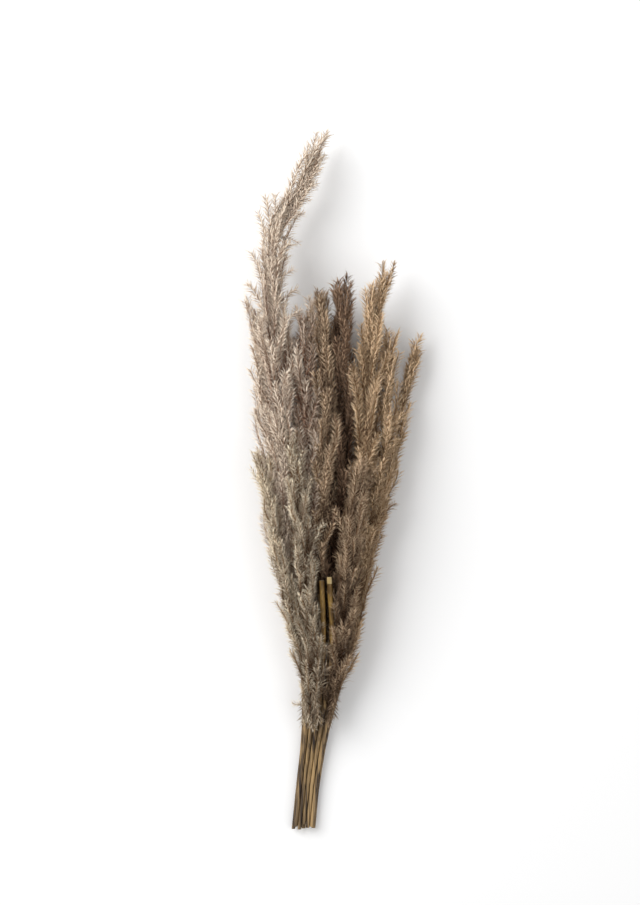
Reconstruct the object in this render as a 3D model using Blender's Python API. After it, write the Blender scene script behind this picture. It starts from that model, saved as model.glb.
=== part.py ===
"""A bundle of dried pampas grass, laid down on a flat surface.

Each stalk is a straight round stem that carries one long feathery plume. The stems are packed
side by side at the waist, where a bundle is held, and the stalks fan out from there. Two
stalks have lost their plumes and end as bare stubs among the others.

+Y runs from the cut ends to the tips, +X runs across the bundle and +Z is up. The origin is on
the surface, under the middle of the bundle.
"""

import math
from collections import namedtuple

import bmesh
import bpy
from mathutils import Vector

MM = 0.001

STEM_RADIUS = 2.1 * MM
STUB_END_RADIUS = 2.7 * MM
PLUME_NECK_RADIUS = 2.6 * MM
PLUME_TIP_RADIUS = 1.2 * MM
CLEARANCE = 0.35 * MM

STEM_STEP = 24 * MM
PLUME_STEP = 22 * MM
NEIGHBOUR_STEP = 6 * MM
STEM_SIDES_RESOLUTION = 2
PLUME_SIDES_RESOLUTION = 4
FULLEST_AT = 0.36
TIP_ROUNDNESS = 0.6
WELD_DISTANCE = 0.01 * MM

# How the sheaf opens. Across, a stalk's place runs from -1 at the left edge to 1 at the right;
# upwards it runs from layer 0 on the surface to layer 2 on top.
Section = namedtuple("Section", "along middle half_width low_layer mid_layer top_layer")
SHEAF = (
    Section(0, -19, 11.4, 2.3, 6.45, 10.6),
    Section(57, -13, 11.4, 2.3, 6.45, 10.6),
    Section(118, -4.5, 14.5, 3.0, 10, 17),
    Section(200, 4.5, 28, 7.5, 23, 38),
    Section(300, 4, 48, 11, 38, 62),
    Section(430, 12, 66, 12.5, 50, 78),
)
WAIST_ALONG = 57
OPEN_ALONG = 430

# A stalk keeps its waist place up to the waist, and reaches its head place where the sheaf is
# open. Its reach is the rest of its way to the tip. All lengths are in millimetres.
Stalk = namedtuple("Stalk", "name foot waist head leaves plume_from fullness tone reach")
STALKS = (
    Stalk("back_left", 3, (-0.4, 0), (-0.6, 0), 430, 150, 18, "grey",
          ((-33, 500, 12), (-44, 575, 8))),
    Stalk("back_middle", 0, (0, 0), (-0.05, 0), 430, 170, 18, "brown",
          ((9, 500, 12), (11, 590, 8))),
    Stalk("back_right", 6, (0.4, 0), (0.55, 0), 430, 150, 18, "tan",
          ((54, 510, 12), (62, 590, 8))),
    Stalk("left_outer", 2, (-0.8, 0), (-1.03, 0.6), 430, 140, 15, "grey",
          ((-63, 500, 35), (-70, 560, 32), (-76, 606, 30))),
    Stalk("far_right", 7, (0.8, 0), (1.1, 0.4), 430, 190, 8, "tan",
          ((97, 500, 25), (114, 564, 19))),
    Stalk("tall_left", 0, (-1, 1), (-0.79, 1.3), 430, 230, 21, "grey",
          ((-47, 500, 60), (-53, 580, 57), (-54, 640, 52), (-46, 688, 46), (-27, 717, 41),
           (-10, 750, 36), (2, 790, 31))),
    Stalk("left_inner", 5, (-0.6, 1), (-0.38, 1.3), 430, 250, 16, "grey",
          ((-16, 520, 59), (-14, 604, 53))),
    Stalk("centre_front", 2, (-0.2, 1), (-0.06, 1.5), 430, 270, 15, "brown",
          ((5, 520, 64), (1, 608, 58))),
    Stalk("centre_dark", 8, (0.2, 1), (0.23, 1.15), 430, 240, 17, "dark",
          ((26, 520, 56), (23, 628, 47))),
    Stalk("right_inner", 4, (0.6, 1), (0.57, 1.35), 430, 230, 16, "tan",
          ((54, 520, 59), (62, 590, 53), (78, 641, 46))),
    Stalk("right_outer", 1, (1, 1), (0.9, 0.95), 430, 160, 16, "tan",
          ((75, 500, 46), (80, 568, 41))),
    Stalk("low_left", 4, (-0.8, 2), (-1.08, 1.55), 300, 132, 13, "pale",
          ((-58, 385, 62), (-70, 440, 62))),
    Stalk("front_low", 0, (-0.4, 2), (-0.5, 2), 300, 120, 14, "pale",
          ((-26, 385, 75), (-35, 455, 79))),
    Stalk("right_low", 3, (0.8, 2), (0.48, 2), 300, 135, 13, "brown",
          ((40, 370, 74), (46, 424, 79))),
    Stalk("short_stub", 6, (0, 2), (-0.04, 2), 200, None, 0, "straw", ((2, 286, 62),)),
    Stalk("long_stub", 2, (0.4, 2), (0.14, 2), 200, None, 0, "straw", ((10.5, 290, 63),)),
)

STEM_COLOUR = (0.23, 0.15, 0.075, 1)
PLUME_COLOURS = {
    "grey": (0.36, 0.27, 0.21, 1),
    "pale": (0.42, 0.33, 0.25, 1),
    "tan": (0.24, 0.16, 0.095, 1),
    "brown": (0.12, 0.075, 0.045, 1),
    "dark": (0.07, 0.04, 0.022, 1),
}
STRAW_COLOUR = (0.42, 0.3, 0.13, 1)


def clear_scene():
    """Start from an empty scene."""
    for old in list(bpy.data.objects):
        bpy.data.objects.remove(old, do_unlink=True)


def blend(start, end, share):
    """The value a share of the way from start to end."""
    return start + (end - start) * share


def ease(share):
    """A share from 0 to 1 that starts and ends gently."""
    share = min(max(share, 0.0), 1.0)
    return share * share * (3 - 2 * share)


def place_in_sheaf(stalk, section):
    """Where a stalk's axis crosses one section of the sheaf."""
    opened = ease((section.along - WAIST_ALONG) / (OPEN_ALONG - WAIST_ALONG))
    across = blend(stalk.waist[0], stalk.head[0], opened)
    layer = blend(stalk.waist[1], stalk.head[1], opened)
    if layer < 1:
        height = blend(section.low_layer, section.mid_layer, layer)
    else:
        height = blend(section.mid_layer, section.top_layer, layer - 1)
    return Vector((section.middle + section.half_width * across, section.along, height)) * MM


def route_knots(stalk):
    """The points that a stalk's axis passes through, from its cut end to its tip."""
    knots = [place_in_sheaf(stalk, section) for section in SHEAF if section.along <= stalk.leaves]
    knots.extend(Vector(point) * MM for point in stalk.reach)
    return knots


def knot_slope(knots, index):
    """The axis direction at a knot, per unit of Y."""
    before = knots[max(index - 1, 0)]
    after = knots[min(index + 1, len(knots) - 1)]
    return (after - before) / (after.y - before.y)


def point_on_route(knots, along):
    """The point of a smooth curve through the knots at one distance along Y."""
    index = 0
    while index < len(knots) - 2 and along > knots[index + 1].y:
        index += 1
    start = knots[index]
    end = knots[index + 1]
    span = end.y - start.y
    share = (along - start.y) / span
    start_pull = (1 + 2 * share) * (1 - share) ** 2
    end_pull = share * share * (3 - 2 * share)
    leaving = share * (1 - share) ** 2 * span
    arriving = share * share * (share - 1) * span
    point = start * start_pull + end * end_pull
    point += knot_slope(knots, index) * leaving + knot_slope(knots, index + 1) * arriving
    point.y = along
    return point


def spaced(start, end, step):
    """Evenly spaced values from start to end, about a step apart."""
    count = max(2, round((end - start) / step))
    return [blend(start, end, number / count) for number in range(count + 1)]


def plume_start(stalk):
    """The height at which a stalk's stem gives way to its plume."""
    return stalk.plume_from * MM


def stem_end(stalk):
    """The height at which a stalk's bare stem ends."""
    if stalk.plume_from is None:
        return stalk.reach[-1][1] * MM
    return plume_start(stalk) - CLEARANCE


def stem_radius(stalk, along):
    """A stem is straight-sided; a stub thickens into the dry sheath at its end."""
    if stalk.plume_from is not None:
        return STEM_RADIUS
    waist = WAIST_ALONG * MM
    share = (along - waist) / (stem_end(stalk) - waist)
    return blend(STEM_RADIUS, STUB_END_RADIUS, ease(share))


def full_plume_radius(stalk, along):
    """The radius that a plume would have with no neighbours: a long spindle."""
    start = plume_start(stalk)
    end = stalk.reach[-1][1] * MM
    share = (along - start) / (end - start)
    if share < FULLEST_AT:
        rise = math.sin(math.pi / 2 * share / FULLEST_AT)
        return blend(PLUME_NECK_RADIUS, stalk.fullness * MM, rise)
    fall = min((share - FULLEST_AT) / (1 - FULLEST_AT), 1.0)
    return blend(PLUME_TIP_RADIUS, stalk.fullness * MM, (1 - fall ** 2) ** TIP_ROUNDNESS)


def neighbour_samples(stalk):
    """Points along a stalk, each with the radius that it wants and whether it is plume."""
    knots = route_knots(stalk)
    samples = []
    for along in spaced(stalk.foot * MM, knots[-1].y, NEIGHBOUR_STEP):
        is_plume = stalk.plume_from is not None and along >= plume_start(stalk)
        radius = full_plume_radius(stalk, along) if is_plume else stem_radius(stalk, along)
        samples.append((point_on_route(knots, along), radius, is_plume))
    return samples


def plume_radius(stalk, along, centre, others):
    """The plume's radius where it presses against its neighbours."""
    wanted = full_plume_radius(stalk, along)
    allowed = wanted
    for point, radius, is_plume in others:
        distance = (point - centre).length - CLEARANCE
        if distance > wanted + radius:
            continue
        if is_plume:
            allowed = min(allowed, distance * wanted / (wanted + radius))
        else:
            allowed = min(allowed, distance - radius)
    return max(allowed, PLUME_TIP_RADIUS)


def tube_object(name, points, radii, resolution, collection):
    """A round tube with filled ends along a row of points."""
    curve = bpy.data.curves.new(name, "CURVE")
    curve.dimensions = "3D"
    curve.fill_mode = "FULL"
    curve.bevel_depth = 1.0
    curve.bevel_resolution = resolution
    curve.use_fill_caps = True
    spline = curve.splines.new("POLY")
    spline.points.add(len(points) - 1)
    for spot, point, radius in zip(spline.points, points, radii):
        spot.co = (point.x, point.y, point.z, 1)
        spot.radius = radius
    tube = bpy.data.objects.new(name, curve)
    collection.objects.link(tube)
    return tube


def as_mesh_object(tube, collection):
    """Turn a curve object into a mesh object of the same name, with its ends welded on."""
    graph = bpy.context.evaluated_depsgraph_get()
    mesh = bpy.data.meshes.new_from_object(tube.evaluated_get(graph))
    solid = bmesh.new()
    solid.from_mesh(mesh)
    bmesh.ops.remove_doubles(solid, verts=solid.verts, dist=WELD_DISTANCE)
    solid.to_mesh(mesh)
    solid.free()
    name = tube.name
    place = tube.matrix_world.copy()
    curve = tube.data
    bpy.data.objects.remove(tube, do_unlink=True)
    bpy.data.curves.remove(curve)
    result = bpy.data.objects.new(name, mesh)
    mesh.name = name
    result.matrix_world = place
    collection.objects.link(result)
    return result


def press_on_surface(plume):
    """Flatten the underside of a plume that lies on the surface."""
    for vertex in plume.data.vertices:
        vertex.co.z = max(vertex.co.z, 0.0)


def give_material(piece, name, colour):
    """Give a piece its own matt dry-grass material."""
    material = bpy.data.materials.new(name)
    material.use_nodes = True
    shader = material.node_tree.nodes["Principled BSDF"]
    shader.inputs["Base Color"].default_value = colour
    shader.inputs["Roughness"].default_value = 0.85
    shader.inputs["Metallic"].default_value = 0.0
    piece.data.materials.append(material)


def build_stem(stalk, collection):
    """The bare round stem of one stalk."""
    knots = route_knots(stalk)
    heights = spaced(stalk.foot * MM, stem_end(stalk), STEM_STEP)
    points = [point_on_route(knots, along) for along in heights]
    radii = [stem_radius(stalk, along) for along in heights]
    name = stalk.name if stalk.plume_from is None else stalk.name + "_stem"
    stem = tube_object(name, points, radii, STEM_SIDES_RESOLUTION, collection)
    give_material(stem, name, STRAW_COLOUR if stalk.plume_from is None else STEM_COLOUR)
    return stem


def build_plume(stalk, others, collection):
    """The soft plume of one stalk, as a spindle that gives way to its neighbours."""
    knots = route_knots(stalk)
    heights = spaced(plume_start(stalk), knots[-1].y, PLUME_STEP)
    points = [point_on_route(knots, along) for along in heights]
    radii = [plume_radius(stalk, along, point, others) for along, point in zip(heights, points)]
    name = stalk.name + "_plume"
    plume = tube_object(name, points, radii, PLUME_SIDES_RESOLUTION, collection)
    plume = as_mesh_object(plume, collection)
    press_on_surface(plume)
    plume.data.shade_smooth()
    give_material(plume, name, PLUME_COLOURS[stalk.tone])
    return plume


def centre_bundle(pieces, collection):
    """Hang every piece on one empty and move it so that the box's middle is over the origin."""
    bpy.context.view_layer.update()
    graph = bpy.context.evaluated_depsgraph_get()
    corners = []
    for piece in pieces:
        solid = piece.evaluated_get(graph).to_mesh()
        corners.extend(piece.matrix_world @ vertex.co for vertex in solid.vertices)
    low = [min(corner[axis] for corner in corners) for axis in range(2)]
    high = [max(corner[axis] for corner in corners) for axis in range(2)]
    holder = bpy.data.objects.new("bundle_middle", None)
    holder.location = (-(low[0] + high[0]) / 2, -(low[1] + high[1]) / 2, 0)
    collection.objects.link(holder)
    for piece in pieces:
        piece.parent = holder


def main():
    """Build the bundle."""
    clear_scene()
    collection = bpy.data.collections.new("pampas_grass_bundle")
    bpy.context.scene.collection.children.link(collection)
    samples = {stalk.name: neighbour_samples(stalk) for stalk in STALKS}
    pieces = []
    for stalk in STALKS:
        pieces.append(build_stem(stalk, collection))
        if stalk.plume_from is None:
            continue
        others = [sample for name, row in samples.items() if name != stalk.name for sample in row]
        pieces.append(build_plume(stalk, others, collection))
    centre_bundle(pieces, collection)


main()
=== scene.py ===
"""The look of a bundle of dried pampas grass that lies on a pale floor, seen from above.

Every plume is grown branch by branch around the axis of its CAD solid. Geometry Nodes then set
the spikelets and the silky hairs along the branches. The stems are streaked dry culms.
"""

import math

import bmesh
import bpy
import numpy as np
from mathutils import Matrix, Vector


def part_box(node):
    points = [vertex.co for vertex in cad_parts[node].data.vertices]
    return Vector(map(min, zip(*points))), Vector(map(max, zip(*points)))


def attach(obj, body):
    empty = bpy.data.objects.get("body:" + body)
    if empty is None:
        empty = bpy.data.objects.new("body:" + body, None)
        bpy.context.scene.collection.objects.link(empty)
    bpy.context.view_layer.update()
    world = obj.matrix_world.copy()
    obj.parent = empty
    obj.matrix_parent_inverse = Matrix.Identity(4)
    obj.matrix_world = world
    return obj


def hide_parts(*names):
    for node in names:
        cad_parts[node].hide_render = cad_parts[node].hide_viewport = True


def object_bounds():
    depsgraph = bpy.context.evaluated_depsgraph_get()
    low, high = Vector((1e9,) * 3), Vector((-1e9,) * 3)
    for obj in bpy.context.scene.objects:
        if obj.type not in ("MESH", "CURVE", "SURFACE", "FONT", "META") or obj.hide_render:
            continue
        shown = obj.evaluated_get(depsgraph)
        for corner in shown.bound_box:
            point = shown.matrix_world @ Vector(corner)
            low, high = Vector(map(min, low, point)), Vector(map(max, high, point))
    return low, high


MM = 0.001
GOLDEN_TURN = math.pi * (3 - math.sqrt(5))
UV_MAP = "OFBake"

# Heights above the floor that nothing goes below, and that branch lines stay between.
FLOOR_GAP = 0.4 * MM
LOWEST_BRANCH = 2.5 * MM
HIGHEST_BRANCH = 85 * MM

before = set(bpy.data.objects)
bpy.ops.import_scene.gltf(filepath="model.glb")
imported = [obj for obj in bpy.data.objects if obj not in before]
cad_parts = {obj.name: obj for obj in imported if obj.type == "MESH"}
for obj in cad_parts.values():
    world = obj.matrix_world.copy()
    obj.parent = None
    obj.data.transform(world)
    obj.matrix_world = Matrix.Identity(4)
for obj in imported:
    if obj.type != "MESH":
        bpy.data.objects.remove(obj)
cad_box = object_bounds()


# ---------------------------------------------------------------------------------------------
# The stalks, as the frame holds them
# ---------------------------------------------------------------------------------------------

def slices(node, step, inset):
    """The middle, half width and half height of a CAD solid at heights along it."""
    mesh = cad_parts[node].data
    mesh.calc_loop_triangles()
    points = np.array([vertex.co for vertex in mesh.vertices])
    corners = points[np.array([triangle.vertices for triangle in mesh.loop_triangles])]
    low = corners[:, :, 1].min() + inset
    high = corners[:, :, 1].max() - inset
    rows = []
    for along in np.linspace(low, high, max(3, round((high - low) / step) + 1)):
        cuts = []
        for first, second in ((0, 1), (1, 2), (2, 0)):
            start = corners[:, first]
            end = corners[:, second]
            crossing = (start[:, 1] - along) * (end[:, 1] - along) < 0
            start = start[crossing]
            end = end[crossing]
            share = ((along - start[:, 1]) / (end[:, 1] - start[:, 1]))[:, None]
            cuts.append(start + (end - start) * share)
        cut = np.concatenate(cuts)
        least = cut.min(axis=0)
        most = cut.max(axis=0)
        middle = (least + most) / 2
        rows.append((along, middle[0], middle[2], (most[0] - least[0]) / 2, (most[2] - least[2]) / 2))
    return np.array(rows)


class Axis:
    """The line through a plume, with how far the plume spreads round it."""

    def __init__(self, node):
        rows = slices(node, step=10 * MM, inset=1 * MM)
        smooth = rows.copy()
        for _ in range(2):
            smooth[1:-1, 1:] = (smooth[:-2, 1:] + 2 * smooth[1:-1, 1:] + smooth[2:, 1:]) / 4
        self.rows = smooth
        self.start = smooth[0, 0]
        self.end = smooth[-1, 0]
        self.length = self.end - self.start

    def read(self, along):
        """Middle x, middle z, half width and half height at heights along the plume."""
        inside = np.clip(along, self.start, self.end)
        return [np.interp(inside, self.rows[:, 0], self.rows[:, column]) for column in (1, 2, 3, 4)]

    def point(self, along):
        """The axis point at one height."""
        x, z, _, _ = self.read(along)
        return np.array((float(x), float(along), float(z)))


# ---------------------------------------------------------------------------------------------
# Plume styles
# ---------------------------------------------------------------------------------------------

class Style:
    """How one plume is grown.

    It has a coat, a number of branches and the length of the longest in millimetres, and a tone
    at its foot and at its tip, from 0 for dark to 1 for light. The spread is how far its branches
    reach as a share of the CAD solid's radius, the nod is how far their tips lean out, and the
    tufts are short branches on its upper side.
    """

    def __init__(self, coat, branches, longest, low_tone, high_tone, spread=1.12, nod=7,
                 spikelet=1.0, tufts=0):
        self.coat = coat
        self.branches = branches
        self.longest = longest * MM
        self.low_tone = low_tone
        self.high_tone = high_tone
        self.spread = spread
        self.nod = nod * MM
        self.spikelet = spikelet
        self.tufts = tufts


STYLES = {
    "back_left": Style("grey", 32, 110, 0.35, 0.55),
    "back_middle": Style("brown", 32, 110, 0.4, 0.6),
    "back_right": Style("tan", 34, 110, 0.4, 0.6),
    "left_outer": Style("grey", 40, 100, 0.5, 0.85, tufts=12),
    "far_right": Style("tan", 36, 60, 0.45, 0.75, spread=1.0, nod=2),
    "tall_left": Style("grey", 74, 100, 0.45, 0.9, spread=0.85, nod=8, tufts=26),
    "left_inner": Style("grey", 38, 100, 0.15, 0.35, tufts=14),
    "centre_front": Style("brown", 38, 95, 0.25, 0.4, tufts=16),
    "centre_dark": Style("dark", 40, 100, 0.2, 0.65, tufts=10),
    "right_inner": Style("tan", 44, 105, 0.2, 0.75, tufts=18),
    "right_outer": Style("tan", 40, 95, 0.35, 0.85, tufts=18),
    "low_left": Style("pale", 34, 80, 0.3, 0.75, spikelet=0.85, tufts=24),
    "front_low": Style("pale", 34, 80, 0.06, 0.3, spikelet=0.85, tufts=34),
    "right_low": Style("brown", 34, 80, 0.08, 0.35, spikelet=0.85, tufts=34),
}

# Loose side branches that stand clear of their plume: the share of the plume where they leave
# it, their tip from there (across, along, up, in millimetres), how much the tip hangs over,
# their size and how much lighter they are.
LOOSE_BRANCHES = {
    "tall_left": (
        (0.75, (-8, 66, 4), 0.2, 1.0, 0.1),
        (0.79, (-1, 46, 8), 0.0, 0.9, 0.1),
        (0.70, (-15, 76, 2), 0.3, 1.0, 0.1),
        (0.63, (-23, 70, 2), 0.3, 1.0, 0.1),
        (0.56, (-29, 74, 4), 0.5, 1.1, 0.1),
        (0.85, (30, 26, 6), 0.4, 0.8, 0.0),
        (0.82, (32, 26, 0), 0.5, 0.6, -0.2),
        (0.79, (30, 27, 4), 0.3, 0.8, -0.1),
        (0.775, (27, 2, 2), 2.2, 0.6, -0.2),
        (0.71, (21, 36, 6), 0.6, 1.1, 0.0),
        (0.67, (23, 30, 2), 0.4, 0.8, -0.1),
        (0.63, (26, 30, 4), 0.4, 0.9, -0.1),
        (0.58, (30, 34, 4), 0.4, 0.9, -0.1),
        (0.88, (32, 64, 2), 0.1, 1.1, 0.1),
        (0.84, (26, 72, 6), 0.1, 1.1, 0.1),
    ),
    "far_right": (
        (0.85, (15, 54, 0), 0.1, 1.0, 0.1),
        (0.70, (15, 78, 2), 0.1, 1.0, 0.1),
        (0.74, (20, 66, 2), 0.1, 0.9, 0.1),
    ),
    "left_outer": (
        (0.72, (-13, 62, 4), 0.4, 0.9, 0.1),
        (0.64, (-14, 62, 4), 0.4, 0.9, 0.1),
        (0.50, (-18, 60, 4), 0.4, 0.9, 0.1),
    ),
    "left_inner": (
        (0.86, (-6, 28, 8), 0.1, 0.9, -0.2),
        (0.80, (10, 50, 8), 0.1, 0.9, -0.1),
    ),
    "centre_dark": (
        (0.80, (8, 68, 6), 0.1, 1.1, 0.1),
        (0.84, (-4, 56, 6), 0.0, 1.1, 0.0),
        (0.66, (-8, 60, 12), 0.1, 1.0, 0.1),
        (0.30, (14, 70, 0), 0.1, 1.1, 0.1),
        (0.36, (15, 76, 4), 0.1, 1.1, 0.2),
        (0.42, (13, 80, 2), 0.1, 1.1, 0.2),
    ),
    "right_inner": (
        (0.74, (-4, 76, 8), 0.1, 1.0, 0.1),
        (0.80, (1, 58, 8), 0.0, 1.0, 0.1),
        (0.80, (13, 46, 2), 0.2, 0.9, 0.0),
        (0.62, (-9, 60, 12), 0.2, 0.9, 0.1),
    ),
    "right_outer": (
        (0.40, (31, 49, 6), 0.3, 0.8, -0.4),
        (0.62, (22, 60, 4), 0.3, 1.0, 0.0),
        (0.55, (20, 60, 4), 0.3, 1.0, 0.0),
        (0.80, (4, 76, 4), 0.1, 1.0, 0.0),
    ),
    "centre_front": (
        (0.20, (2, 55, 22), 0.1, 0.9, 0.3),
        (0.34, (-6, 52, 16), 0.2, 0.9, 0.2),
        (0.82, (-3, 60, 4), 0.1, 1.0, 0.0),
    ),
    "low_left": (
        (0.02, (-13, 6, 2), 0.8, 0.8, 0.4),
        (0.30, (-12, 50, 8), 0.4, 0.9, 0.2),
        (0.12, (-10, 46, 8), 0.4, 0.9, 0.2),
        (0.06, (-3, -26, 9), 1.5, 1.0, 0.0),
        (0.08, (4, -30, 9), 1.5, 1.0, 0.1),
        (0.10, (0, -20, 12), 1.5, 1.0, 0.0),
    ),
    "front_low": (
        (0.08, (0, -27, 10), 1.5, 1.1, 0.1),
        (0.10, (-6, -26, 8), 1.5, 1.1, 0.0),
        (0.10, (7, -27, 10), 1.5, 1.1, 0.0),
        (0.14, (3, -22, 12), 1.5, 1.1, 0.1),
        (0.00, (3, -3, 8), 0.9, 0.7, 0.5),
        (0.01, (5, 18, 12), 0.5, 1.0, 0.1),
        (0.03, (11, 40, 22), 0.3, 1.1, 0.1),
        (0.06, (15, 46, 24), 0.3, 1.1, 0.0),
        (0.14, (14, 44, 24), 0.3, 1.1, 0.1),
        (0.20, (9, 50, 18), 0.3, 1.0, 0.2),
        (0.50, (21, 63, 14), 0.3, 0.9, 0.4),
        (0.60, (10, 80, 12), 0.2, 0.9, 0.4),
        (0.72, (4, 70, 8), 0.2, 0.9, 0.5),
    ),
    "right_low": (
        (0.06, (-4, -28, 9), 1.5, 1.0, 0.0),
        (0.08, (0, -26, 8), 1.5, 1.0, 0.0),
        (0.12, (-3, -26, 12), 1.5, 1.0, 0.1),
        (0.00, (-1, -8, 3), 0.6, 0.7, -0.5),
        (0.00, (-5, 26, 18), 0.4, 1.1, 0.0),
        (0.02, (0, 44, 22), 0.3, 1.1, 0.1),
        (0.12, (-7, 42, 22), 0.3, 1.1, 0.1),
        (0.30, (-12, 50, 16), 0.3, 0.9, 0.1),
        (0.60, (-15, 57, 8), 0.3, 0.9, 0.5),
        (0.75, (25, 61, 4), 0.2, 0.9, 0.3),
    ),
}


# ---------------------------------------------------------------------------------------------
# Growing the branches
# ---------------------------------------------------------------------------------------------

class Strands:
    """Branch lines in the making, with what the spikelets need to know at each point."""

    def __init__(self):
        self.points = []
        self.outward = []
        self.tone = []
        self.size = []
        self.core = []
        self.edges = []

    def add(self, points, outward, tone, size, core):
        """Add one branch line."""
        first = len(self.points)
        count = len(points)
        self.points.extend(points)
        self.outward.extend(outward)
        self.tone.extend(np.broadcast_to(tone, count))
        self.size.extend(np.broadcast_to(size, count))
        self.core.extend(np.broadcast_to(core, count))
        self.edges.extend((first + number, first + number + 1) for number in range(count - 1))

    def as_object(self, name):
        """The branch lines as a mesh of edges with named values at their points."""
        mesh = bpy.data.meshes.new(name)
        mesh.from_pydata([tuple(point) for point in self.points], self.edges, [])
        for label, values in (("tone", self.tone), ("size", self.size), ("core", self.core)):
            layer = mesh.attributes.new(label, "FLOAT", "POINT")
            layer.data.foreach_set("value", np.array(values, np.float32))
        layer = mesh.attributes.new("outward", "FLOAT_VECTOR", "POINT")
        layer.data.foreach_set("vector", np.array(self.outward, np.float32).ravel())
        lines = bpy.data.objects.new(name, mesh)
        bpy.context.scene.collection.objects.link(lines)
        return lines


LAST_START = 0.94
CLOSER_AT_TIP = 0.95
SHORTER_AT_TIP = 0.45
OVERSHOOT = 3 * MM
RAGGED_END = 30 * MM
SHORTEST_BRANCH = 12 * MM
BRANCH_STEP = 7 * MM
BLUNT_TIP = 6 * MM
WAVE = 1.6 * MM
TUFT_STEP = 5 * MM
LAST_TUFT = 0.86
FEWEST_STEPS = 6
RACHIS_STEPS = 24


def tone_at(style, share):
    """The plume's own tone at a share of its length."""
    return style.low_tone + (style.high_tone - style.low_tone) * np.clip(share, 0, 1)


def round_axis(along, middle, reach, swing):
    """Points round the axis at a reach and a swing, and the way outwards at each."""
    x, z = middle
    reach_x, reach_z = reach
    points = np.stack((x + reach_x * np.cos(swing), along, z + reach_z * np.sin(swing)), axis=1)
    points[:, 2] = np.clip(points[:, 2], LOWEST_BRANCH, HIGHEST_BRANCH)
    outward = np.stack((np.cos(swing), np.zeros_like(swing), np.sin(swing)), axis=1)
    return points, outward


def grow_branch(strands, axis, style, rng, number):
    """One branch: it leaves the plume's middle, arches out to the edge and runs up along it."""
    place = (number + 0.5) / style.branches
    share = LAST_START * place ** CLOSER_AT_TIP
    turn = number * GOLDEN_TURN + rng.normal(0, 0.25)
    length = style.longest * (1 - SHORTER_AT_TIP * share) * rng.uniform(0.75, 1.15)
    start = axis.start + axis.length * share
    room = axis.end + OVERSHOOT - start - RAGGED_END * rng.uniform(0, 1) ** 1.5
    length = max(min(length, room), SHORTEST_BRANCH)
    steps = max(FEWEST_STEPS, round(length / BRANCH_STEP))
    run = np.linspace(0, 1, steps + 1)
    along = start + length * run
    # Deep branches stay inside the plume. The deeper a branch lies, the darker it is painted, as
    # painted shade.
    depth = rng.uniform(0.45, 1.0) ** 0.7
    out = depth * (1 - (1 - run) ** 2.4)
    swing = turn + rng.normal(0, 0.65) * run + 0.15 * np.sin(run * rng.uniform(3, 7) + turn)
    x, z, half_width, half_height = axis.read(along)
    nod = style.nod * run ** 3 * rng.uniform(0.2, 1.0)
    # Towards its tip the plume keeps a least radius, so that it ends blunt.
    least = BLUNT_TIP * np.clip(2 * (along - axis.start) / axis.length - 0.6, 0, 1)
    reach_x = np.maximum(half_width, least) * style.spread * out + nod
    reach_z = np.maximum(half_height, least) * style.spread * out + nod
    x = x + WAVE * run * np.sin(along * rng.uniform(90, 150) + turn)
    points, outward = round_axis(along, (x, z), (reach_x, reach_z), swing)
    tone = tone_at(style, (along - axis.start) / axis.length) + rng.normal(0, 0.2)
    # Painted shade: deep branches, and each branch towards its foot inside the plume, are painted
    # darker; the paler tips are partly the husks' own colour.
    tone = tone + 0.6 * (depth - 0.85) + 0.4 * (run - 0.45)
    size = style.spikelet * np.interp(run, (0, 0.12, 0.8, 1), (0.4, 1.0, 1.0, 0.95))
    core = np.interp(run, (0, 1), (0.7, 0.3)) * MM
    strands.add(points, outward, tone, size, core)


def grow_tuft(strands, axis, style, rng, number):
    """A short branch on the upper side of the plume, pale at its tip and painted darker at its foot,
    partly as painted shade where it sits against the plume.
    """
    share = LAST_TUFT * (number + rng.uniform(0.1, 0.9)) / style.tufts
    length = style.longest * rng.uniform(0.3, 0.62)
    start = axis.start + axis.length * share
    steps = max(FEWEST_STEPS, round(length / TUFT_STEP))
    run = np.linspace(0, 1, steps + 1)
    along = start + length * run
    x, z, half_width, half_height = axis.read(along)
    # The lowest tufts stand out most, so that they cover the foot of the plume.
    lift = (2 + 8 * (1 - share) ** 2) * rng.uniform(0.7, 1.2) * MM
    swing = math.pi / 2 + rng.uniform(-1.0, 1.0) + rng.normal(0, 0.3) * run
    out = 0.35 + 0.75 * run ** 0.8
    reach_x = half_width * style.spread * out + lift * 0.5 * run
    reach_z = half_height * style.spread * out + lift * (1.6 * run - run ** 2)
    points, outward = round_axis(along, (x, z), (reach_x, reach_z), swing)
    # Darker at the foot as painted shade where the tuft meets the plume, paler at the tip as the
    # husks' own colour.
    tone = tone_at(style, share) + rng.normal(0, 0.2) - 0.4 + 1.3 * run
    size = rng.uniform(0.85, 1.1) * np.interp(run, (0, 0.15), (0.5, 1.0)) * style.spikelet
    core = np.interp(run, (0, 1), (0.6, 0.3)) * MM
    strands.add(points, outward, tone, size, core)


def grow_loose_branch(strands, axis, style, rng, branch):
    """A branch that stands clear of the plume and hangs over at its tip."""
    share, tip, hang, size, lighter = branch
    start = axis.point(axis.start + axis.length * share)
    reach = np.array(tip) * MM
    length = np.linalg.norm(reach)
    knee = reach * np.array((0.25, 0.55, 0.5)) + np.array((0, hang * length / 4, 0))
    steps = max(FEWEST_STEPS, round(length / TUFT_STEP))
    run = np.linspace(0, 1, steps + 1)
    along_curve = run[:, None]
    points = start + 2 * along_curve * (1 - along_curve) * knee + along_curve ** 2 * reach
    outward = np.broadcast_to((0.0, 0.0, 1.0), points.shape)
    tone = tone_at(style, share) + lighter - 0.2 + 0.5 * run + rng.normal(0, 0.05)
    taper = np.interp(run, (0, 0.15, 0.8, 1), (0.5, 1.0, 1.0, 0.85))
    core = np.interp(run, (0, 1), (0.5, 0.22)) * MM
    strands.add(points, outward, tone, 1.15 * style.spikelet * size * taper, core)


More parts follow.
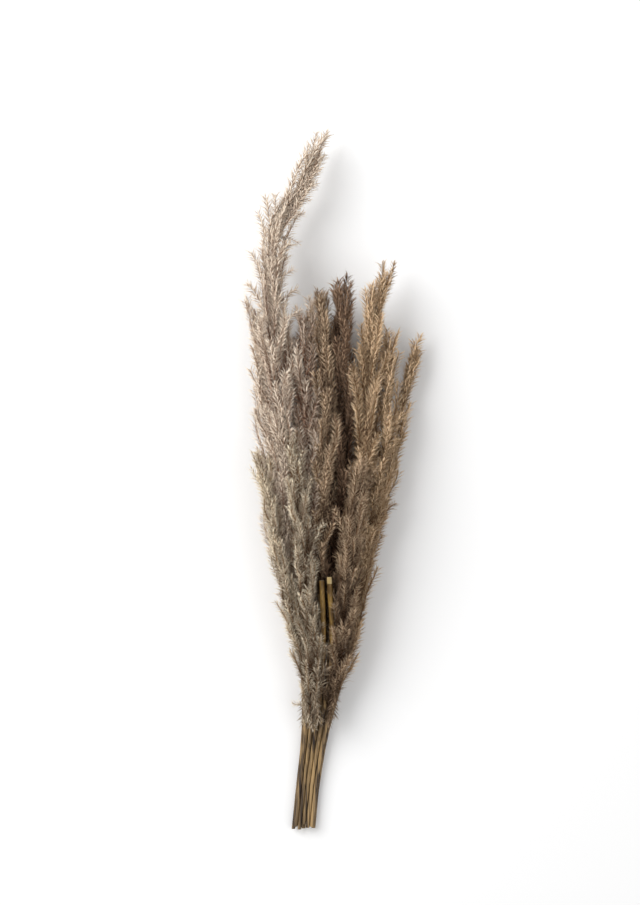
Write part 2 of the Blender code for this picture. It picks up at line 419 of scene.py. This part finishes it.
def grow_rachis(strands, axis, style):
    """The stem's thin end, which runs up the middle of its plume and bears no spikelets."""
    along = np.linspace(axis.start, axis.end - SHORTEST_BRANCH, RACHIS_STEPS)
    x, z, _, _ = axis.read(along)
    points = np.stack((x, along, z), axis=1)
    outward = np.broadcast_to((0.0, 0.0, 1.0), points.shape)
    core = np.linspace(2.0, 0.5, RACHIS_STEPS) * MM
    strands.add(points, outward, style.low_tone, 0.0, core)


def branch_lines(name, style, seed):
    """All the branch lines of one plume."""
    rng = np.random.default_rng(seed)
    axis = Axis(name + "_plume")
    strands = Strands()
    grow_rachis(strands, axis, style)
    for number in range(style.branches):
        grow_branch(strands, axis, style, rng, number)
    for number in range(style.tufts):
        grow_tuft(strands, axis, style, rng, number)
    for branch in LOOSE_BRANCHES.get(name, ()):
        grow_loose_branch(strands, axis, style, rng, branch)
    return strands.as_object(name + "_branches")


# ---------------------------------------------------------------------------------------------
# One spikelet and one hair
# ---------------------------------------------------------------------------------------------

SIDES = 3
HUSK_LENGTH = 11 * MM
HUSK_WIDTH = 1.9 * MM
HUSK_THICKNESS = 0.9 * MM
HUSK_WIDEST_AT = 5 * MM
HUSK_LEAN = 0.5 * MM
HAIR_LENGTH = 11 * MM
HAIR_WIDTH = 0.36 * MM
HAIR_LEAN = 0.8 * MM


def ring_of(solid, width, thickness, height):
    """The corners of one cross-section of a husk or a hair."""
    corners = []
    for side in range(SIDES):
        turn = 2 * math.pi * side / SIDES + math.pi / 2
        corners.append(solid.verts.new((
            width / 2 * math.cos(turn), thickness / 2 * math.sin(turn), height)))
    return corners


def finished_shape(name, solid, spot):
    """Turn the faces outwards, map each corner with spot and make the object."""
    bmesh.ops.recalc_face_normals(solid, faces=solid.faces)
    uv = solid.loops.layers.uv.new(UV_MAP)
    for face in solid.faces:
        for loop in face.loops:
            loop[uv].uv = spot(loop.vert.co)
    mesh = bpy.data.meshes.new(name)
    solid.to_mesh(mesh)
    solid.free()
    return bpy.data.objects.new(name, mesh)


def spikelet_shape():
    """A closed lance-shaped husk along +Z. Its map runs from dark foot to light tip."""
    solid = bmesh.new()
    foot = solid.verts.new((0, 0, 0))
    ring = ring_of(solid, HUSK_WIDTH, HUSK_THICKNESS, HUSK_WIDEST_AT)
    tip = solid.verts.new((0, HUSK_LEAN, HUSK_LENGTH))
    for side in range(SIDES):
        after = (side + 1) % SIDES
        solid.faces.new((foot, ring[after], ring[side]))
        solid.faces.new((ring[side], ring[after], tip))

    def spot(corner):
        return 0.04 + 0.94 * corner.z / HUSK_LENGTH, 0.5 + corner.x / HUSK_WIDTH

    return finished_shape("spikelet", solid, spot)


def hair_shape():
    """A closed silky needle along +Z, mapped to the light half of the coat."""
    solid = bmesh.new()
    foot = ring_of(solid, HAIR_WIDTH, HAIR_WIDTH, 0)
    tip = solid.verts.new((0, HAIR_LEAN, HAIR_LENGTH))
    solid.faces.new(foot)
    for side in range(SIDES):
        solid.faces.new((foot[side], foot[(side + 1) % SIDES], tip))

    def spot(corner):
        # The depth of a corner moves it a little on the map too, so that no face is flat there.
        return 0.55 + 0.4 * corner.z / HAIR_LENGTH + 20 * corner.y, 0.5 + corner.x / HAIR_WIDTH

    return finished_shape("hair", solid, spot)


# ---------------------------------------------------------------------------------------------
# The tree that dresses the branches
# ---------------------------------------------------------------------------------------------

class TreeMaker:
    """Short calls for building a node tree."""

    def __init__(self, tree):
        self.tree = tree

    def add(self, kind, inputs=None, **settings):
        """Add a node, set its options, and set or link its inputs by name or number."""
        node = self.tree.nodes.new(kind)
        for key, value in settings.items():
            setattr(node, key, value)
        for key, value in (inputs or {}).items():
            socket = node.inputs[key]
            if isinstance(value, bpy.types.NodeSocket):
                self.tree.links.new(value, socket)
            else:
                socket.default_value = value
        return node

    def math(self, operation, first, second=0.0):
        """The result of an operation on two numbers."""
        node = self.add("ShaderNodeMath", {0: first, 1: second}, operation=operation)
        return node.outputs[0]

    def value(self, name, data_type="FLOAT"):
        """A named value carried by the branch lines."""
        node = self.add("GeometryNodeInputNamedAttribute", {"Name": name}, data_type=data_type)
        return node.outputs["Attribute"]

    def chance(self, low, high, seed):
        """A random number for each point."""
        # Inputs 2 and 3 and output 1 are the node's sockets for plain numbers.
        node = self.add("FunctionNodeRandomValue", {2: low, 3: high, "Seed": seed},
                        data_type="FLOAT")
        return node.outputs[1]


SPIKELET_PITCH = 1.0 * MM
HAIR_PITCH = 0.45 * MM
RANKS = 3
RANK_WANDER = 0.35
SPIKELET_SPLAY = (-0.95, -0.5)
SPIKELET_SIZES = (0.75, 1.15)
HAIR_SPLAY = (-1.15, -0.15)
HAIR_SIZES = (0.5, 1.25)
TONE_JITTER = 0.13
HAIR_LIGHTER = 0.12
DARKEST = 0.02
LIGHTEST = 0.98
LIGHTEST_CORE = 0.97
STRAND_WIDTH_ON_MAP = 0.012
CORE_SIDES = 5
CORE_MAP_START = 0.06
CORE_MAP_STEP = 0.004
CORE_TONE_STEP = 0.002

TREE_INPUTS = (
    ("Geometry", "NodeSocketGeometry"),
    ("Spikelet", "NodeSocketObject"),
    ("Hair", "NodeSocketObject"),
    ("Spikelet pitch", "NodeSocketFloat"),
    ("Hair pitch", "NodeSocketFloat"),
    ("Coat", "NodeSocketMaterial"),
    ("Seed", "NodeSocketInt"),
)


def set_along(maker, curves, shape, pitch, turns, scale, lighter, seed):
    """Instances of one shape along the lines. Turns are its roll and its splay from the line."""
    roll, splay = turns
    spaced = maker.add("GeometryNodeResampleCurve", {"Curve": curves, "Length": pitch},
                       mode="LENGTH").outputs[0]
    tangent = maker.add("GeometryNodeInputTangent").outputs[0]
    outward = maker.value("outward", "FLOAT_VECTOR")
    upright = maker.add("FunctionNodeAxesToRotation", {0: tangent, 1: outward},
                        primary_axis="Z", secondary_axis="Y").outputs[0]
    rolled = maker.add("FunctionNodeAxisAngleToRotation", {0: (0, 0, 1), 1: roll}).outputs[0]
    splayed = maker.add("FunctionNodeAxisAngleToRotation", {0: (1, 0, 0), 1: splay}).outputs[0]
    turned = maker.add("FunctionNodeRotateRotation", {0: upright, 1: rolled},
                       rotation_space="LOCAL").outputs[0]
    turned = maker.add("FunctionNodeRotateRotation", {0: turned, 1: splayed},
                       rotation_space="LOCAL").outputs[0]
    size = maker.value("size")
    bearing = maker.add("FunctionNodeCompare", {0: size, 1: 0.01}, data_type="FLOAT",
                        operation="GREATER_THAN").outputs[0]
    placed = maker.add("GeometryNodeInstanceOnPoints", {
        "Points": spaced,
        "Selection": bearing,
        "Instance": maker.add("GeometryNodeObjectInfo", {"Object": shape}).outputs["Geometry"],
        "Rotation": turned,
        "Scale": maker.math("MULTIPLY", size, scale)}).outputs[0]
    tone = maker.math("ADD", maker.value("tone"), maker.chance(-TONE_JITTER, TONE_JITTER, seed))
    return maker.add("GeometryNodeStoreNamedAttribute", {
        "Geometry": placed, "Name": "tone", "Value": maker.math("ADD", tone, lighter)},
        data_type="FLOAT", domain="INSTANCE").outputs[0]


def mapped_to(maker, geometry, run, tone):
    """The geometry with its map set to a run along the strand and a tone."""
    spot = maker.add("ShaderNodeCombineXYZ", {0: run, 1: tone}).outputs[0]
    return maker.add("GeometryNodeStoreNamedAttribute", {
        "Geometry": geometry, "Name": UV_MAP, "Value": spot},
        data_type="FLOAT2", domain="CORNER").outputs[0]


def joined(maker, *parts):
    """Several geometries as one."""
    join = maker.add("GeometryNodeJoinGeometry")
    for part in parts:
        maker.tree.links.new(part, join.inputs[0])
    return maker.add("GeometryNodeRealizeInstances", {"Geometry": join.outputs[0]}).outputs[0]


def dressing_tree():
    """The node tree that sets spikelets and hairs along branch lines."""
    tree = bpy.data.node_groups.new("dress_branches", "GeometryNodeTree")
    for name, kind in TREE_INPUTS:
        tree.interface.new_socket(name, in_out="INPUT", socket_type=kind)
    tree.interface.new_socket("Geometry", in_out="OUTPUT", socket_type="NodeSocketGeometry")
    maker = TreeMaker(tree)
    source = maker.add("NodeGroupInput").outputs
    curves = maker.add("GeometryNodeMeshToCurve", {"Mesh": source["Geometry"]}).outputs[0]
    index = maker.add("GeometryNodeInputIndex").outputs[0]

    def seeded(number):
        return maker.math("ADD", source["Seed"], number)

    # Spikelets stand in three ranks round the branch, hairs on all sides.
    rank = maker.math("MULTIPLY", maker.math("MODULO", index, float(RANKS)), 2 * math.pi / RANKS)
    rank = maker.math("ADD", rank, maker.chance(-RANK_WANDER, RANK_WANDER, seeded(1)))
    spikelets = set_along(
        maker, curves, source["Spikelet"], source["Spikelet pitch"],
        (rank, maker.chance(*SPIKELET_SPLAY, seeded(2))),
        maker.chance(*SPIKELET_SIZES, seeded(3)), 0.0, seeded(4))
    any_side = maker.chance(0, 2 * math.pi, seeded(6))
    hairs = set_along(
        maker, curves, source["Hair"], source["Hair pitch"],
        (any_side, maker.chance(*HAIR_SPLAY, seeded(5))),
        maker.chance(*HAIR_SIZES, seeded(7)), HAIR_LIGHTER, seeded(8))
    strands = joined(maker, hairs, spikelets)
    strand_map = maker.add("ShaderNodeSeparateXYZ", {0: maker.value(UV_MAP, "FLOAT_VECTOR")})
    across = maker.math("SUBTRACT", strand_map.outputs[1], 0.5)
    across = maker.math("MULTIPLY", across, STRAND_WIDTH_ON_MAP)
    tone = maker.add("ShaderNodeClamp", {
        "Value": maker.value("tone"), "Min": DARKEST, "Max": LIGHTEST}).outputs[0]
    strands = mapped_to(maker, strands, strand_map.outputs[0], maker.math("ADD", tone, across))

    # The branches themselves take the dark foot of the coat.
    circle = maker.add("GeometryNodeCurvePrimitiveCircle", {
        "Resolution": CORE_SIDES, "Radius": 1.0}).outputs[0]
    cores = maker.add("GeometryNodeCurveToMesh", {
        "Curve": curves, "Profile Curve": circle, "Scale": maker.value("core"),
        "Fill Caps": True}).outputs[0]
    run = maker.math("MULTIPLY", maker.math("MODULO", index, 2.0 * CORE_SIDES), CORE_MAP_STEP)
    around = maker.math("MODULO", index, float(CORE_SIDES))
    around = maker.math("MULTIPLY", around, CORE_TONE_STEP)
    tone = maker.add("ShaderNodeClamp", {
        "Value": maker.value("tone"), "Min": DARKEST, "Max": LIGHTEST_CORE}).outputs[0]
    run = maker.math("ADD", run, CORE_MAP_START)
    cores = mapped_to(maker, cores, run, maker.math("ADD", tone, around))
    painted = maker.add("GeometryNodeSetMaterial", {
        "Geometry": joined(maker, cores, strands), "Material": source["Coat"]}).outputs[0]
    maker.add("NodeGroupOutput", {0: painted})
    return tree


def set_inputs(modifier, tree, values):
    """Set a modifier's inputs by the identifiers of their sockets."""
    for item in tree.interface.items_tree:
        if item.in_out == "INPUT" and item.name in values:
            modifier[item.identifier] = values[item.name]


def dressed_plume(name, style, tree, shapes, coat, seed):
    """Grow a plume's branches, dress them and keep the result as a plain mesh."""
    lines = branch_lines(name, style, seed)
    modifier = lines.modifiers.new("dress", "NODES")
    modifier.node_group = tree
    set_inputs(modifier, tree, {
        "Spikelet": shapes["spikelet"],
        "Hair": shapes["hair"],
        "Spikelet pitch": SPIKELET_PITCH,
        "Hair pitch": HAIR_PITCH,
        "Coat": coat,
        "Seed": seed * 100})
    graph = bpy.context.evaluated_depsgraph_get()
    mesh = bpy.data.meshes.new_from_object(lines.evaluated_get(graph))
    lines.modifiers.remove(modifier)
    old = lines.data
    bpy.data.objects.remove(lines, do_unlink=True)
    bpy.data.meshes.remove(old)
    mesh.name = name + "_fluff"
    for layer in [layer.name for layer in mesh.attributes]:
        if layer in ("tone", "size", "core", "outward"):
            mesh.attributes.remove(mesh.attributes[layer])
    places = np.zeros(len(mesh.vertices) * 3, np.float32)
    mesh.vertices.foreach_get("co", places)
    places[2::3] = np.maximum(places[2::3], FLOOR_GAP)
    mesh.vertices.foreach_set("co", places)
    mesh.shade_smooth()
    plume = bpy.data.objects.new(name + "_fluff", mesh)
    bpy.context.scene.collection.objects.link(plume)
    return plume


# ---------------------------------------------------------------------------------------------
# Materials
# ---------------------------------------------------------------------------------------------

def linear(red, green, blue):
    """A colour given in everyday 0 to 255 steps, as the shader wants it."""
    steps = []
    for step in (red, green, blue):
        share = step / 255
        steps.append(share / 12.92 if share <= 0.04045 else ((share + 0.055) / 1.055) ** 2.4)
    return (*steps, 1.0)


# Dark base, light base, dark tip and light tip of a spikelet, for each coat of fluff. The darker
# bases are partly the husks' own colour and partly painted shade between husks.
COATS = {
    "grey": ((78, 48, 34), (168, 134, 110), (154, 120, 98), (255, 240, 220)),
    "pale": ((56, 32, 14), (166, 132, 98), (112, 80, 52), (255, 242, 216)),
    "tan": ((58, 34, 16), (146, 110, 72), (118, 84, 52), (246, 216, 178)),
    "brown": ((32, 15, 4), (118, 86, 56), (74, 47, 27), (226, 198, 166)),
    "dark": ((24, 10, 3), (82, 55, 36), (58, 34, 20), (176, 146, 120)),
}


# The numbers of a colour Mix node's sockets.
MIX_FACTOR = 0
MIX_FIRST = 6
MIX_SECOND = 7
MIX_RESULT = 2


def coat_material(name, colours):
    """Dry silky fluff: dark at the base of each husk, lighter towards its tip. The dark base is
    partly the husk's own colour and partly painted shade for the gaps between husks.
    """
    material = bpy.data.materials.new(name + "_fluff_coat")
    material.use_nodes = True
    maker = TreeMaker(material.node_tree)
    shader = material.node_tree.nodes["Principled BSDF"]
    links = material.node_tree.links
    strand_map = maker.add("ShaderNodeUVMap", uv_map=UV_MAP).outputs[0]
    spot = maker.add("ShaderNodeSeparateXYZ", {0: strand_map}).outputs
    base_dark, base_light, tip_dark, tip_light = (linear(*colour) for colour in colours)
    base, tip = (
        maker.add("ShaderNodeMix", {MIX_FACTOR: spot[1], MIX_FIRST: dark, MIX_SECOND: light},
                  data_type="RGBA").outputs[MIX_RESULT]
        for dark, light in ((base_dark, base_light), (tip_dark, tip_light)))
    # Partly painted shade: the dark husk foot reaches well up each husk so that it reads as the
    # shaded gaps between husks.
    run = maker.add("ShaderNodeMapRange", {
        "Value": spot[0], "From Min": 0.1, "From Max": 0.75},
        interpolation_type="SMOOTHSTEP").outputs[0]
    whole = maker.add("ShaderNodeMix", {MIX_FACTOR: run, MIX_FIRST: base, MIX_SECOND: tip},
                      data_type="RGBA").outputs[MIX_RESULT]
    links.new(whole, shader.inputs["Base Color"])
    rough = maker.add("ShaderNodeMapRange", {
        "Value": spot[0], "To Min": 0.85, "To Max": 0.55}).outputs[0]
    links.new(rough, shader.inputs["Roughness"])
    shader.inputs["Specular IOR Level"].default_value = 0.12
    return material


STREAK_SHARE = 0.4
PATCH_SHARE = 0.6
DARK_BELOW = 0.42
LIGHT_ABOVE = 0.6


def stem_material(name, dark, light, rough):
    """A dry culm: fine streaks along it, over broader light and dark runs."""
    material = bpy.data.materials.new(name)
    material.use_nodes = True
    maker = TreeMaker(material.node_tree)
    links = material.node_tree.links
    shader = material.node_tree.nodes["Principled BSDF"]
    place = maker.add("ShaderNodeTexCoord").outputs["Object"]
    long = maker.add("ShaderNodeMapping", {0: place, "Scale": (900, 14, 900)}).outputs[0]
    streaks = maker.add("ShaderNodeTexNoise", {"Vector": long, "Scale": 1.0, "Detail": 5.0})
    broad = maker.add("ShaderNodeMapping", {0: place, "Scale": (260, 4, 260)}).outputs[0]
    patches = maker.add("ShaderNodeTexNoise", {"Vector": broad, "Scale": 1.0, "Detail": 3.0})
    fine = maker.math("MULTIPLY", streaks.outputs[0], STREAK_SHARE)
    mixed = maker.math("ADD", fine, maker.math("MULTIPLY", patches.outputs[0], PATCH_SHARE))
    ramp = maker.add("ShaderNodeValToRGB", {0: mixed})
    ramp.color_ramp.elements[0].position = DARK_BELOW
    ramp.color_ramp.elements[0].color = linear(*dark)
    ramp.color_ramp.elements[1].position = LIGHT_ABOVE
    ramp.color_ramp.elements[1].color = linear(*light)
    links.new(ramp.outputs[0], shader.inputs["Base Color"])
    shader.inputs["Roughness"].default_value = rough
    bump = maker.add("ShaderNodeBump", {
        "Height": streaks.outputs[0], "Strength": 0.6, "Distance": 0.6 * MM})
    links.new(bump.outputs[0], shader.inputs["Normal"])
    return material


def floor_material():
    """Smooth pale paper."""
    material = bpy.data.materials.new("pale_floor")
    material.use_nodes = True
    shader = material.node_tree.nodes["Principled BSDF"]
    shader.inputs["Base Color"].default_value = (0.93, 0.93, 0.93, 1)
    shader.inputs["Roughness"].default_value = 0.9
    shader.inputs["Specular IOR Level"].default_value = 0.1
    return material


# ---------------------------------------------------------------------------------------------
# Stems
# ---------------------------------------------------------------------------------------------

STEM_SIDES = 14
UNEVEN = 0.035
ROUGHLY = 0.008
OVAL = 0.05
SHARP_EDGE = math.radians(50)


def grow_stem(node, bands, cut_material, rng):
    """A culm along its CAD solid, slightly oval and uneven, closed at both ends.

    Each band is a material and how far down from the upper end it reaches. A later band
    lies over an earlier one.
    """
    rows = slices(node, step=6 * MM, inset=1.5 * MM)
    lowest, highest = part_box(node)
    start_slope = (rows[1] - rows[0]) / (rows[1, 0] - rows[0, 0])
    end_slope = (rows[-1] - rows[-2]) / (rows[-1, 0] - rows[-2, 0])
    first = rows[0] + start_slope * (lowest.y - rows[0, 0])
    last = rows[-1] + end_slope * (highest.y - rows[-1, 0])
    rows = np.vstack((first, rows, last))
    rows[0, 3:] = rows[1, 3:]
    rows[-1, 3:] = rows[-2, 3:]
    solid = bmesh.new()
    phase = rng.uniform(0, 6)
    levels = []
    for along, x, z, half_width, half_height in rows:
        radius = (half_width + half_height) / 2
        radius *= 1 + UNEVEN * math.sin(along * 90 + phase) + rng.normal(0, ROUGHLY)
        level = []
        for side in range(STEM_SIDES):
            turn = 2 * math.pi * side / STEM_SIDES
            oval = 1 + OVAL * math.cos(2 * turn + phase)
            height = max(z + radius * oval * math.sin(turn), FLOOR_GAP)
            level.append(solid.verts.new((x + radius * oval * math.cos(turn), along, height)))
        levels.append(level)
    for low, high in zip(levels, levels[1:]):
        for side in range(STEM_SIDES):
            after = (side + 1) % STEM_SIDES
            solid.faces.new((low[side], low[after], high[after], high[side]))
    for face in solid.faces:
        below = highest.y - face.calc_center_median().y
        face.material_index = max(number for number, band in enumerate(bands) if below < band[1])
    for level in (levels[0], levels[-1]):
        cap = solid.faces.new(level)
        cap.material_index = len(bands)
    bmesh.ops.recalc_face_normals(solid, faces=solid.faces)
    mesh = bpy.data.meshes.new(node + "_culm")
    solid.to_mesh(mesh)
    solid.free()
    mesh.shade_smooth()
    mesh.set_sharp_from_angle(angle=SHARP_EDGE)
    stem = bpy.data.objects.new(node + "_culm", mesh)
    for material, _ in bands:
        mesh.materials.append(material)
    mesh.materials.append(cut_material)
    bpy.context.scene.collection.objects.link(stem)
    return stem


# ---------------------------------------------------------------------------------------------
# Floor, lights and camera
# ---------------------------------------------------------------------------------------------

FLOOR_SIZE = 6
ROOM_LIGHT = 0.56

# Each lamp's name, place, size in metres and power in watts.
LAMPS = (
    ("window", (-1.5, 0.9, 1.7), 1.8, 52),
    ("fill", (1.4, -0.6, 2.2), 2.0, 12),
)

# The camera's place from the middle of the bundle, and its height above the floor.
CAMERA_ASIDE = (-0.0183, 0.0352)
CAMERA_HEIGHT = 2.65
CAMERA_LENS = 91.9
CAMERA_SENSOR = 36


def build_stage():
    """A pale floor, a soft light from the upper left and a camera looking straight down."""
    bpy.ops.mesh.primitive_plane_add(size=FLOOR_SIZE, location=(0, 0, 0))
    floor = bpy.context.object
    floor.name = "pale_floor"
    floor.data.materials.append(floor_material())
    world = bpy.data.worlds.new("soft_room")
    world.use_nodes = True
    world.node_tree.nodes["Background"].inputs[0].default_value = (1, 1, 1, 1)
    world.node_tree.nodes["Background"].inputs[1].default_value = ROOM_LIGHT
    bpy.context.scene.world = world
    for name, place, size, power in LAMPS:
        light = bpy.data.lights.new(name, "AREA")
        light.size = size
        light.energy = power
        lamp = bpy.data.objects.new(name, light)
        lamp.location = place
        lamp.rotation_euler = (-Vector(place)).to_track_quat("-Z", "Y").to_euler()
        bpy.context.scene.collection.objects.link(lamp)
    camera = bpy.data.cameras.new("camera")
    camera.lens = CAMERA_LENS
    camera.sensor_width = CAMERA_SENSOR
    eye = bpy.data.objects.new("camera", camera)
    middle = (cad_box[0] + cad_box[1]) / 2
    eye.location = (middle.x + CAMERA_ASIDE[0], middle.y + CAMERA_ASIDE[1], CAMERA_HEIGHT)
    bpy.context.scene.collection.objects.link(eye)
    bpy.context.scene.camera = eye
    bpy.context.scene.view_settings.view_transform = "Standard"


# ---------------------------------------------------------------------------------------------
# The bundle
# ---------------------------------------------------------------------------------------------

# How far down from the upper end of a stub its straw colour and its end colour reach.
STUB_STRAW = 90 * MM
STUB_END = 10 * MM
STEM_SEED = 500
STUB_SEED = 700


def main():
    """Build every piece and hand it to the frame."""
    build_stage()
    tree = dressing_tree()
    shapes = {"spikelet": spikelet_shape(), "hair": hair_shape()}
    coats = {name: coat_material(name, colours) for name, colours in COATS.items()}
    culm = stem_material("dry_culm", (34, 17, 5), (166, 136, 92), 0.6)
    straw = stem_material("straw_culm", (78, 54, 16), (150, 118, 58), 0.5)
    cream = stem_material("cream_culm", (170, 146, 96), (236, 220, 176), 0.5)
    cut = stem_material("cut_pith", (190, 168, 130), (226, 210, 178), 0.85)
    for number, (name, style) in enumerate(STYLES.items(), start=1):
        plume = dressed_plume(name, style, tree, shapes, coats[style.coat], number)
        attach(plume, "root")
        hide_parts(name + "_plume")
        rng = np.random.default_rng(STEM_SEED + number)
        stem = grow_stem(name + "_stem", ((culm, math.inf),), cut, rng)
        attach(stem, "root")
        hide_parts(name + "_stem")
    for number, (name, end_material) in enumerate((("short_stub", straw), ("long_stub", cream))):
        bands = ((culm, math.inf), (straw, STUB_STRAW), (end_material, STUB_END))
        rng = np.random.default_rng(STUB_SEED + number)
        stub = grow_stem(name, bands, cut, rng)
        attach(stub, "root")
        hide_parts(name)


main()
